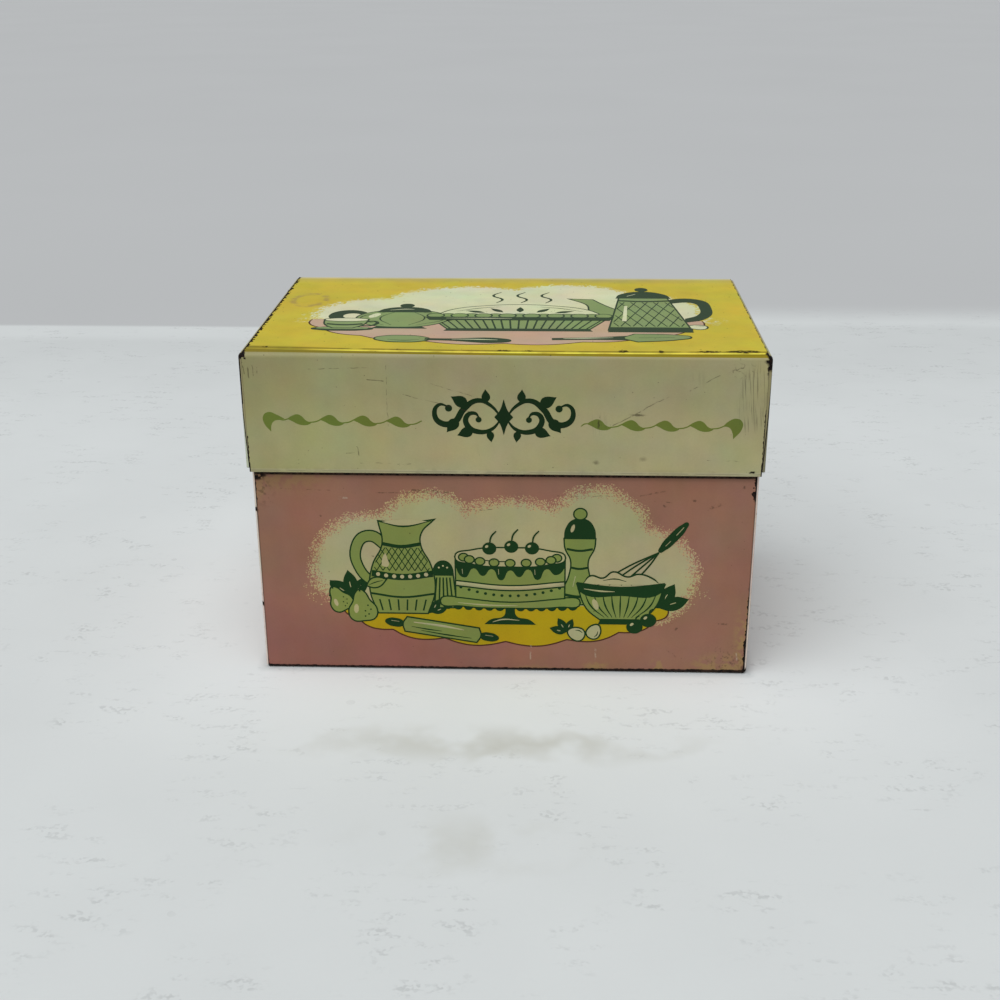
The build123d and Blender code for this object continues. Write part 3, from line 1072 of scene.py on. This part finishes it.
def lid_look(place, x, y, z):
    upper = flat(x, y)
    no_warm, no_yellow = cloud(upper, top_lobes, 3.6, 0.6)
    over = z > lid_top - 0.1
    ground = (no_warm * over).tint(yellow, rgb(212, 198, 92))
    ground = (no_yellow * over).tint(ground, rgb(214, 206, 132))
    ground = (no_warm * no_yellow * over).tint(ground, bare_white)
    dull = noise(place, 14.0, 3.0).rise(0.42, 0.66)
    ground = (dull * over * (1.0 - no_warm) * 0.5).tint(ground, rgb(196, 176, 44))
    # Painted reflections on the top's front bend: dark olive lines on either side of the crest and a
    # darker band at the left end (painted dark reflection), and a bright yellow painted highlight along
    # the crest that varies along the edge.
    crest = y + 41.0 + x * 0.017 - x * x * 0.00035
    broad = noise(flat(x, 0.0 * y), 7.0, 3.0)
    upper_line = abs(crest - 1.5).rise(0.8, 0.25) * broad.rise(0.3, 0.5)
    lower_line = crest.rise(-0.3, -0.75)
    painted_dark_reflection = upper_line.most(lower_line) * (y < -34.0)
    left_end = x.rise(-42.0, -56.0) * crest.rise(3.4, 1.4) * 0.85
    painted_dark_reflection = painted_dark_reflection.most(left_end * (y < -34.0))
    ground = painted_dark_reflection.tint(ground, rgb(138, 122, 0))
    painted_highlight = abs(crest).rise(0.75, 0.3) * (x.rise(-54.0, -26.0) * 0.8 + 0.2) * broad.rise(0.7, 0.4)
    ground = (painted_highlight * 0.95).tint(ground, rgb(255, 243, 84))
    ground = (y.rise(33.0, 41.0) * over * (0.4 + dull * 0.3)).tint(ground, rgb(176, 166, 116))
    ground = (y.rise(39.6, 41.2) * over * 0.8).tint(ground, rgb(210, 204, 162))
    printed_fold = (90.0 - z) - (y + 43.0) < x * 0.012 - x * x * 0.0001 - 0.1
    front = y < 0.0
    # The skirt is darker towards its top bend, which is painted shade, and also a little darker towards
    # its left end.
    darker_top_and_left = 1.0 - z.rise(66.0, 84.0) * 0.13 - x.rise(-46.0, -64.0) * 0.07
    skirt = (z < 88.72) * (1.0 - front) + (1.0 - printed_fold) * front
    ground = (skirt > 0.5).tint(
        ground, darker_top_and_left.shade(x.rise(-10.0, -58.0).tint(cream, rgb(173, 167, 118))),
    )
    outer = varnished(place, ground, *lid_wear(place, x, y, z))
    inner = tinplate(place, x, y, z)
    wall = -lid_front - lid_bend
    out = (abs(y) - wall).most(0.0)
    up = (z - (lid_top - lid_bend)).most(0.0)
    printed = ((out * out + up * up) > (lid_bend - sheet_half) ** 2).most(z < 60.98)
    return two_sided(printed, outer, inner)


dress("lid_wrap", finish_of("Printed lid tin", lid_look))


# ---- Top picture ------------------------------------------------------------------------------
# The second still life, printed on the flat of the lid: a pink cloth, a pie in a fluted dish, a tea
# service and a coffee pot in two greens, with a brown line along the cloth's hem.
cloth_pink = rgb(200, 170, 143)


def teapot(picture, level, x, y, size):
    """A round teapot with gores, a dark lid and a bail of a handle."""
    part = picture.at(x, y, size)
    part.patch(
        "dark", level,
        [
            (-8.2, 12.6), (-13.4, 15.6), (-17.2, 10.8), (-13.6, 4.9), (-8.6, 3.9, 1),
            (-8.8, 6.8, 1), (-12.0, 7.6), (-13.8, 10.8), (-11.8, 12.6), (-8.4, 10.0, 1),
        ],
    )
    part.drawn(
        "light", level,
        [
            (8.4, 5.0, 1), (13.0, 8.2), (15.4, 14.2), (18.6, 16.0, 1), (14.6, 16.6, 1),
            (12.0, 13.2), (8.6, 10.4, 1),
        ],
    )
    part.patch(
        "dark", level + 1.5, [(-6.4, -0.6, 1), (6.4, -0.6, 1), (4.6, 1.8, 1), (-4.6, 1.8, 1)],
    )
    part.drawn("light", level + 2, oval(0, 8.4, 10.4, 7.6))
    for step in (-0.72, -0.38, 0.38, 0.72):
        part.line("dark", level + 4, [(step * 5, 14.6), (step * 13.4, 8.4), (step * 5, 2.2)], 0.46)
    part.patch("cream", level + 4.5, oval(-6.6, 10.8, 1.0, 2.2, -0.4))
    part.patch(
        "dark", level + 5, [(-6.4, 13.8, 1), (6.4, 13.8, 1), (5.0, 17.0), (0, 18.8), (-5.0, 17.0)],
    )
    part.line("cream", level + 6, [(-3.6, 15.8), (0, 16.8), (2.0, 16.6)], 0.6)
    part.patch("dark", level + 6, oval(0, 20.2, 1.7, 1.8))


def teacup(picture, level, x, y, size):
    part = picture.at(x, y, size)
    part.patch("dark", level, oval(0, 0.2, 8.4, 2.2))
    part.patch("light", level + 1, oval(0, 0.8, 7.0, 1.1))
    part.line("dark", level + 2, [(4.8, 7.2), (8.2, 7.6), (7.6, 3.6), (4.0, 3.2)], 1.0, 1.0)
    part.drawn(
        "light", level + 3,
        [(-2.6, 1.0, 1), (2.6, 1.0, 1), (5.0, 4.4), (5.8, 9.4, 1), (-5.8, 9.4, 1), (-5.0, 4.4)],
    )
    part.line("dark", level + 5, [(-4.9, 5.0), (0, 4.0), (4.9, 5.0)], 1.3, 1.0)
    part.drawn("cream", level + 5.5, oval(0, 9.4, 5.8, 1.5))


def pie(picture, level, x, y, size):
    """A pie in a fluted dish, its crust pinched round the rim and cut with leaf vents."""
    part = picture.at(x, y, size)
    part.drawn("light", level, [(-24, 12, 1), (24, 12, 1), (18.6, 0, 1), (-18.6, 0, 1)])
    for step in range(-9, 10):
        part.line("dark", level + 2, [(step * 2.5, 10.4), (step * 2.02, 0.8)], 0.5, 1.0)
    part.patch(
        "dark", level + 3, [(-19.8, -1.8, 1), (19.8, -1.8, 1), (18.8, 0.8, 1), (-18.8, 0.8, 1)],
    )
    part.drawn(
        "cream", level + 3,
        [
            (-23.0, 14.6, 1), (-18.0, 21.6), (-8.0, 25.8), (0, 26.8), (8.0, 25.8), (18.0, 21.6),
            (23.0, 14.6, 1),
        ],
    )
    for turn, across, up in (
        (1.57, 0.0, 18.2), (2.25, -4.6, 18.0), (0.89, 4.6, 18.0), (2.75, -9.6, 17.6),
        (0.39, 9.6, 17.6),
    ):
        vent = part.at(*part.moved(across, up)[:2], size * 6.0, turn)
        vent.patch("dark", level + 5, [(0, 0, 1), (0.4, 0.17), (1, 0, 1), (0.4, -0.17)])
    part.line("dark", level + 5, [(-17.4, 19.2), (-11.6, 22.6), (-5.6, 24.4)], 0.5)
    part.line("dark", level + 5, [(17.4, 19.2), (11.6, 22.6), (5.6, 24.4)], 0.5)
    for step in range(-7, 8):
        part.drawn("light", level + 6 + 2 * (step % 2), oval(step * 3.3, 14.4, 2.1, 1.9))
    part.patch(
        "dark", level + 10, [(-26.0, 12.9, 1), (26.0, 12.9, 1), (24.4, 9.4, 1), (-24.4, 9.4, 1)],
    )
    part.line("cream", level + 11, [(-20.0, 11.4), (-9.0, 11.4), (-2.0, 11.4)], 0.6)
    for step in range(3):
        across = 7.0 * step - 7.0
        part.line(
            "dark", level + 1,
            [(across, 29.0), (across + 1.6, 33.0), (across - 1.2, 37.6), (across + 1.0, 42.0)], 0.8,
        )


def coffee_pot(picture, level, x, y, size):
    """A tall coffee pot with a dark lid and handle, and crossed lines on its side."""
    part = picture.at(x, y, size)
    part.patch(
        "dark", level,
        [
            (5.6, 27.6), (12.6, 29.0), (15.4, 20.0), (12.6, 9.6), (8.4, 7.0, 1), (8.4, 10.4, 1),
            (11.4, 13.4), (12.6, 20.0), (11.0, 25.4), (5.6, 24.4, 1),
        ],
    )
    part.drawn(
        "light", level + 0.5,
        [
            (-7.2, 9.4, 1), (-12.4, 15.6), (-13.6, 23.4), (-17.4, 28.6, 1), (-12.2, 28.0, 1),
            (-9.6, 22.6), (-6.4, 17.4, 1),
        ],
    )
    part.drawn("light", level + 3, [(-9.0, 0, 1), (9.0, 0, 1), (5.6, 29.6, 1), (-5.6, 29.6, 1)])
    lattice(
        part, level + 4.5, [(-8.2, 3.4), (8.2, 3.4), (6.0, 25.6), (-6.0, 25.6)], 2.7, 0.32, 0.36,
    )
    part.patch(
        "cream", level + 5.5, [(-5.9, 8.0, 1), (-4.9, 8.0, 1), (-4.1, 22.0, 1), (-4.8, 22.0, 1)],
    )
    part.patch("dark", level + 6, [(-9.4, -1.6, 1), (9.4, -1.6, 1), (8.8, 2.6, 1), (-8.8, 2.6, 1)])
    part.line("dark", level + 6, [(-6.2, 27.2), (0, 26.4), (6.2, 27.2)], 1.4, 1.0)
    part.patch(
        "dark", level + 7, [(-6.6, 29.4, 1), (6.6, 29.4, 1), (5.4, 33.4), (0, 36.4), (-5.4, 33.4)],
    )
    part.line("cream", level + 8, [(-3.8, 31.6), (-1.6, 33.8)], 0.8)
    part.patch("dark", level + 8, oval(0, 38.4, 1.6, 2.0))


def spoon_and_server(picture, level):
    spoon = picture.at(-27.0, -28.6, 1.0, -0.05)
    spoon.drawn("light", level, oval(0, 0, 7.0, 3.0))
    spoon.line("dark", level + 2, [(-3.6, -1.0), (1.0, -1.6), (4.6, -0.6)], 0.5)
    spoon.patch(
        "dark", level + 3,
        [
            (6.0, 0.8, 1), (12.0, 0.9), (26.0, 2.0), (28.6, 0), (26.0, -2.0), (12.0, -0.9),
            (6.0, -0.8, 1),
        ],
    )
    spoon.line("cream", level + 4, [(13.0, 0.3), (20.0, 0.6), (25.0, 0.4)], 0.7)
    server = picture.at(12.0, -28.2, 1.0, 0.07)
    server.patch(
        "dark", level,
        [(0, 0.9, 1), (10, 1.1), (19.6, 2.1, 1), (19.6, -2.1, 1), (10, -1.1), (0, -0.9, 1)],
    )
    server.line("cream", level + 1, [(3.0, 0.3), (9.0, 0.4), (16.0, 0.5)], 0.7)
    server.drawn(
        "light", level + 1,
        [
            (19.0, 0.7, 1), (22.0, 3.6, 1), (33.0, 1.9), (36.0, 0), (33.0, -1.9), (22.0, -3.6, 1),
            (19.0, -0.7, 1),
        ],
    )
    server.line("dark", level + 3, [(22.6, 0), (32.0, 0)], 0.6)


top_picture = Picture(key=0.5)
scalloped_cloth(top_picture, "cloth", "brown", -53.5, 52.5, -9.0, -32.6, 8, 0.5)
top_picture.line("dark", 2.4, [(-53.0, -9.0), (0, -9.0), (52.0, -9.0)], 0.4)
teacup(top_picture, 12, -44.0, -19.0, 1.0)
teapot(top_picture, 4, -29.0, -17.6, 1.2)
pie(top_picture, 4, 3.0, -18.6, 1.0)
coffee_pot(top_picture, 4, 38.0, -19.0, 1.2)
spoon_and_server(top_picture, 18)
egg(top_picture, 5, 51.0, -15.4, 1.15, 1.3)


def lid_ink(colour):
    """An ink on the lid, worn as the sheet under it is."""

    def look(place, x, y, z):
        return varnished(place, colour, *lid_wear(place, x, y, z))

    return look


top_picture.press(
    "top_print",
    "lid",
    Matrix.Identity(4),
    (0.0, 0.0, lid_top),
    {
        "cloth": finish_of("Pink ink on the lid", lid_ink(cloth_pink)),
        "light": finish_of("Light green ink on the lid", lid_ink(rgb(136, 157, 99))),
        "dark": finish_of("Dark green ink on the lid", lid_ink(rgb(44, 66, 38))),
        "cream": finish_of("Bare tin white on the lid", lid_ink(bare_white)),
        "brown": finish_of("Brown ink on the lid", lid_ink(brown_line)),
    },
)


# ---- Lid front ornament -----------------------------------------------------------------------
# Two twisted ribbons in light green run in from the ends of the skirt, with a dark green pen
# flourish of leaves and curls between them. Both are printed flat, as the pictures are.


def ribbon_lobe(picture, x, y):
    """The broad part of a twist, between two sharp ends."""
    picture.at(x, y).patch(
        "light",
        1,
        [
            (-0.3, -0.1, 1), (1.2, 0.8), (2.4, 1.15), (3.5, 0.7), (4.6, -0.45), (5.5, -0.85),
            (6.3, -0.8, 1), (5.6, -1.45), (4.2, -1.8), (2.5, -1.5), (1.0, -0.7),
        ],
    )


def ribbon_link(picture, x, y, wide, rise):
    """The thin part of a twist, from one lobe's end to the next lobe's start."""
    picture.at(x, y).line(
        "light", 2, [(-0.5, -0.05), (wide * 0.5, rise * 0.22), (wide + 0.5, rise + 0.1)], 0.34, 0.9,
    )


lid_picture = Picture()
for x, y in ((-55.2, 72.8), (-46.8, 72.7), (-38.3, 72.6), (-29.8, 72.4)):
    ribbon_lobe(lid_picture, x, y)
    ribbon_link(lid_picture, x + 6.1, y - 0.95, 2.3, 0.9)
for x, y in ((21.3, 72.1), (29.9, 71.95), (38.5, 71.9), (47.1, 71.9)):
    ribbon_lobe(lid_picture, x, y)
    ribbon_link(lid_picture, x + 6.1, y - 0.95, 2.5, 0.9)
lid_picture.line("light", 1.5, [(19.6, 71.3), (20.4, 71.9), (21.6, 72.1)], 0.36, 0.6)
lid_picture.patch(
    "light",
    1,
    [
        (-56.0, 72.7, 1), (-58.2, 73.9), (-60.1, 74.5), (-61.5, 73.5), (-61.4, 71.5),
        (-59.7, 69.2, 1), (-59.5, 71.0), (-58.7, 72.1), (-57.3, 72.4),
    ],
)
lid_picture.line("light", 2, [(-57.6, 72.6), (-56.3, 72.4), (-55.2, 72.7)], 0.36, 0.9)
lid_picture.patch(
    "light",
    1,
    [
        (55.4, 71.6, 1), (57.0, 73.1), (58.8, 73.7), (60.3, 72.8), (60.3, 71.0), (58.2, 68.2, 1),
        (57.8, 70.2), (57.0, 71.3),
    ],
)


def pen_curl(picture, side):
    """One half of the flourish: two swelling pen strokes that curl to a dot, with leaves."""

    def across(points):
        return [(side * point[0], *point[1:]) for point in points]

    upper_stroke = [
        (0.6, 73.4), (3.2, 76.6), (6.6, 78.0), (10.2, 75.6), (12.6, 72.2),
        (15.8, 71.8), (17.6, 74.2), (16.4, 76.8), (14.2, 76.4),
    ]
    lower_stroke = [
        (0.6, 73.2), (3.0, 70.4), (6.2, 69.6), (9.2, 71.2), (9.4, 73.8), (7.4, 74.6), (6.2, 73.4),
    ]
    leaves = (
        (9.0, 76.6, 5.0, 0.5), (11.6, 73.2, 4.8, -0.9), (7.6, 70.2, 4.6, -0.35),
        (4.4, 77.4, 3.6, 1.5), (3.6, 70.0, 3.2, -1.7),
    )
    picture.line("dark", 2, across(upper_stroke), 1.7, 0.2, swell=True)
    picture.line("dark", 3, across(lower_stroke), 1.5, 0.2, swell=True)
    for step, (x, y, length, turn) in enumerate(leaves):
        part = picture.at(side * x, y, length, turn if side > 0 else math.pi - turn)
        part.patch("dark", 4 + step, [(0, 0, 1), (0.35, 0.3), (1, 0, 1), (0.35, -0.3)])
    picture.patch("dark", 9, oval(side * 14.0, 75.9, 0.9, 0.9))
    picture.patch("dark", 9, oval(side * 6.4, 72.9, 0.75, 0.75))


for side in (-1, 1):
    pen_curl(lid_picture, side)
lid_picture.patch(
    "dark", 10,
    [
        (0, 78.4, 1), (1.0, 75.4), (2.4, 73.6, 1), (1.0, 71.8), (0, 68.8, 1), (-1.0, 71.8),
        (-2.4, 73.6, 1), (-1.0, 75.4),
    ],
)
lid_picture.press(
    "ornament",
    "lid",
    Matrix.Rotation(math.pi / 2, 4, "X"),
    (0.0, lid_front, 0.0),
    {
        "light": finish_of("Light green ink on the skirt", lid_ink(rgb(107, 120, 48))),
        "dark": finish_of("Dark green ink on the skirt", lid_ink(rgb(6, 40, 4))),
    },
)


# ---- Lid end panels ---------------------------------------------------------------------------
# Two shallow pans that close the lid's ends, standing a little proud of the sheet. Their ends are
# cream, and the bend beside the seam is dirty in its corner, rubbed pale and painted lighter as a
# highlight along its crest, painted light on the left pan and painted shade on the right pan.
lid_pan_face = 67.0
lid_pan_bend = 0.85
lid_pan_side = 42.7
lid_pan_top = 89.7


def lid_pan_look(place, x, y, z):
    outward = abs(x)
    bend = (outward - (lid_pan_face - lid_pan_bend)).most(0.0)
    side = (abs(y) - (lid_pan_side - lid_pan_bend)).most(0.0)
    crown = (z - (lid_pan_top - lid_pan_bend)).most(0.0)
    radius = bend * bend + side * side + crown * crown
    printed = radius > (lid_pan_bend - sheet_half) ** 2
    round_part = side.most(crown)
    crest = round_part.rise(0.2, 0.42) * round_part.rise(0.74, 0.56)
    right = x > 0.0
    patch = noise(place, 3.0, 3.0)
    ragged = jitter(flat(y, z), 1.0, 1.2)
    inward = lid_pan_face - outward
    fall = ((84.0 - z) * (1.0 / 24.0)).held()
    strip = fall * (0.5 + fall * 0.4)
    left_seam = (inward < 0.5) * (z > 74.0 + patch * 7.0) * (1.0 - right) * (y < 0.0)
    seam = (abs(inward - strip) < 0.1 + patch * 0.06).most(left_seam)
    seam = seam.most((inward < 0.06) * 0.6)
    within = (inward > strip) * (side > 0.1)
    blob = spot(ragged, (-42.6, 88.4), (2.4, 3.0), 0.6) * right
    blob = blob.most(spot(ragged, (-42.5, 89.6), (1.2, 1.5), 0.6))
    blob = blob.most(spot(ragged, (42.4, 89.4), (1.5, 1.5), 0.4))
    blob = blob.most(spot(ragged, (-42.8, 58.9), (1.2, 0.45), 0.4))
    rust = blob.most(seam * side.rise(0.1, 0.3)).most(round_part.rise(0.3, 0.6) * patch.rise(0.66, 0.7))
    rust = rust.most(specks(place, 1.1, 0.02) * 0.8)
    # The pale crest of the bend is painted highlight as well as rubbing.
    ground = (crest * 0.8).tint(cream, rgb(206, 208, 186))
    # The seam-side bend is painted light on the left pan and painted shade on the right pan.
    ground = (side.rise(0.05, 0.2) * (1.0 - right)).tint(ground, rgb(196, 200, 176))
    ground = (side.rise(0.05, 0.2) * right).tint(ground, rgb(134, 130, 100))
    ground = within.tint(ground, rgb(160, 152, 112))
    ground = ((inward < 0.1) * right * side.rise(0.1, 0.3)).tint(ground, rgb(176, 174, 146))
    outer = varnished(
        place, ground, round_part * 0.1, patch.rise(0.5, 0.7) * 0.3, rust, crest * 0.1,
    )
    inner = tinplate(place, x, y, z)
    return two_sided(printed, outer, inner)


lid_pan_finish = finish_of("Printed lid end tin", lid_pan_look)
dress("lid_end_left", lid_pan_finish)
dress("lid_end_right", lid_pan_finish)


# ---- Hinge wire -------------------------------------------------------------------------------
# A length of drawn steel wire, cut to the lid and held by the two sheets rolled round it. It turns
# in the loops, so it is bright along its length and rusty where damp stays in the rolls.


def wire_look(place, x, y, z):
    drawn = noise(place.node("CombineXYZ", {}, {0: x * 0.04, 1: y * 6.0, 2: z * 6.0}), 1.0, 2.0)
    damp = noise(place, 5.0, 3.0)
    rust = damp.rise(0.48, 0.64)
    colour = (0.75 + drawn * 0.3).shade(rgb(150, 148, 144))
    colour = rust.tint(colour, damp.rise(0.5, 0.75).tint(rust_dark, rust_brown))
    return colour, 0.3 + drawn * 0.15 + rust * 0.4, 1.0 - rust, drawn * 0.01 + rust * 0.01


dress("hinge_wire", finish_of("Drawn steel wire", wire_look))


# ---- Floor, light and camera ------------------------------------------------------------------
# A pale matt sheet under the box, running back to a slightly greyer wall, soft light from above and
# a little in front, and the camera in front, looking down at the box.


def floor_look(place, x, y, z):
    wide = noise(place, 260.0, 2.0)
    cloudy = noise(place, 40.0, 3.0)
    fine = noise(place, 1.2, 2.0)
    out = (abs(x) - 66.0).most(0.0)
    off = (abs(y) - 42.0).most(0.0)
    away = (out * out + off * off) ** 0.5
    # Painted fill light: the floor painted brighter within 75 mm of the box.
    painted_fill_light = away.rise(75.0, 0.0) * 0.13
    marks = specks(place, 5.0, 0.06) * noise(place, 30.0).rise(0.5, 0.6)
    wash = y.rise(150.0, 300.0) * 0.1
    streaks = noise(
        place.node("VectorMath", {"operation": "MULTIPLY"}, {0: place, 1: (0.7, 1.6, 1.0)}), 6.0,
        4.0,
    )
    scuffs = streaks.rise(0.50, 0.66) * noise(place, 26.0).rise(0.46, 0.60) * noise(
        place, 1.3, 1.0,
    ).rise(0.44, 0.62)
    # Painted contact shadow: the floor painted darker within 3 mm of the box.
    painted_contact_shadow = away.rise(3.0, 0.0) * 0.2
    loose = jitter(flat(x, y), 26.0, 7.0)
    # Painted shadow bands: two broad, soft, darker bands on the floor in front of the box.
    painted_shadow_bands = spot(loose, (0.0, -79.5), (72.0, 12.0), 0.0) * 0.6
    painted_shadow_bands = painted_shadow_bands.most(spot(loose, (-6.0, -121.0), (36.0, 16.0), 0.0) * 0.35)
    tone = 0.97 - painted_contact_shadow + wide * 0.04 + cloudy * 0.08 + fine * 0.015 + painted_fill_light - wash
    near = (tone - marks * 0.1 - scuffs * 0.17).shade(rgb(216, 220, 220))
    near = painted_shadow_bands.tint(near, rgb(189, 189, 178))
    far = (0.97 + wide * 0.05).shade(rgb(195, 197, 198))
    line = 322.0 + (x + 20.0).rise(20.0, 130.0) * 34.0
    past = y + (noise(place, 90.0) - 0.5) * 3.0 - line
    soft = 3.0 + x.rise(20.0, 130.0) * 22.0
    behind = (past / soft).rise(-1.0, 1.0)
    lip = (past / 34.0 + 0.5).rise(-0.5, 0.0) * (1.0 - behind) * 0.08
    colour = behind.tint((lip + 1.0).shade(near), far)
    return colour, 0.9, 0.0, cloudy * 0.02


floor_mesh = bpy.data.meshes.new("floor")
shape = bmesh.new()
bmesh.ops.create_grid(shape, x_segments=1, y_segments=1, size=8000 * MM)
shape.to_mesh(floor_mesh)
shape.free()
floor = bpy.data.objects.new("floor", floor_mesh)
floor.data.materials.append(finish_of("Pale sheet", floor_look))
bpy.context.scene.collection.objects.link(floor)


sun = bpy.data.lights.new("overhead", "SUN")
sun.energy = 2.12
sun.angle = math.radians(60)
overhead = bpy.data.objects.new("overhead", sun)
overhead.rotation_euler = Vector((0.2, 0.36, -0.91)).to_track_quat("-Z", "Y").to_euler()
bpy.context.scene.collection.objects.link(overhead)

world = bpy.data.worlds.new("room")
bpy.context.scene.world = world
world.use_nodes = True
ground = world.node_tree.nodes["Background"]
ground.inputs["Color"].default_value = (0.80, 0.82, 0.84, 1.0)
ground.inputs["Strength"].default_value = 0.345

eye = Vector((12.6, -377.1, 185.5))
pitch = math.radians(21.92)
yaw = math.radians(-2.34)
roll = math.radians(-0.28)
ahead = Vector((math.sin(yaw) * math.cos(pitch), math.cos(yaw) * math.cos(pitch), -math.sin(pitch)))
level = Vector((math.cos(yaw), -math.sin(yaw), 0.0))
upright = level.cross(ahead)
across = math.cos(roll) * level + math.sin(roll) * upright
rising = math.cos(roll) * upright - math.sin(roll) * level
lens = bpy.data.cameras.new("camera")
lens.sensor_width = 36.0
lens.lens = 1387.0 * 36.0 / 1000.0
lens.clip_start = 0.01
lens.clip_end = 20.0
camera = bpy.data.objects.new("camera", lens)
turned = Matrix((across, rising, -ahead)).transposed().to_4x4()
camera.matrix_world = Matrix.Translation(eye * MM) @ turned
bpy.context.scene.collection.objects.link(camera)
bpy.context.scene.camera = camera
bpy.context.scene.view_settings.view_transform = "Standard"
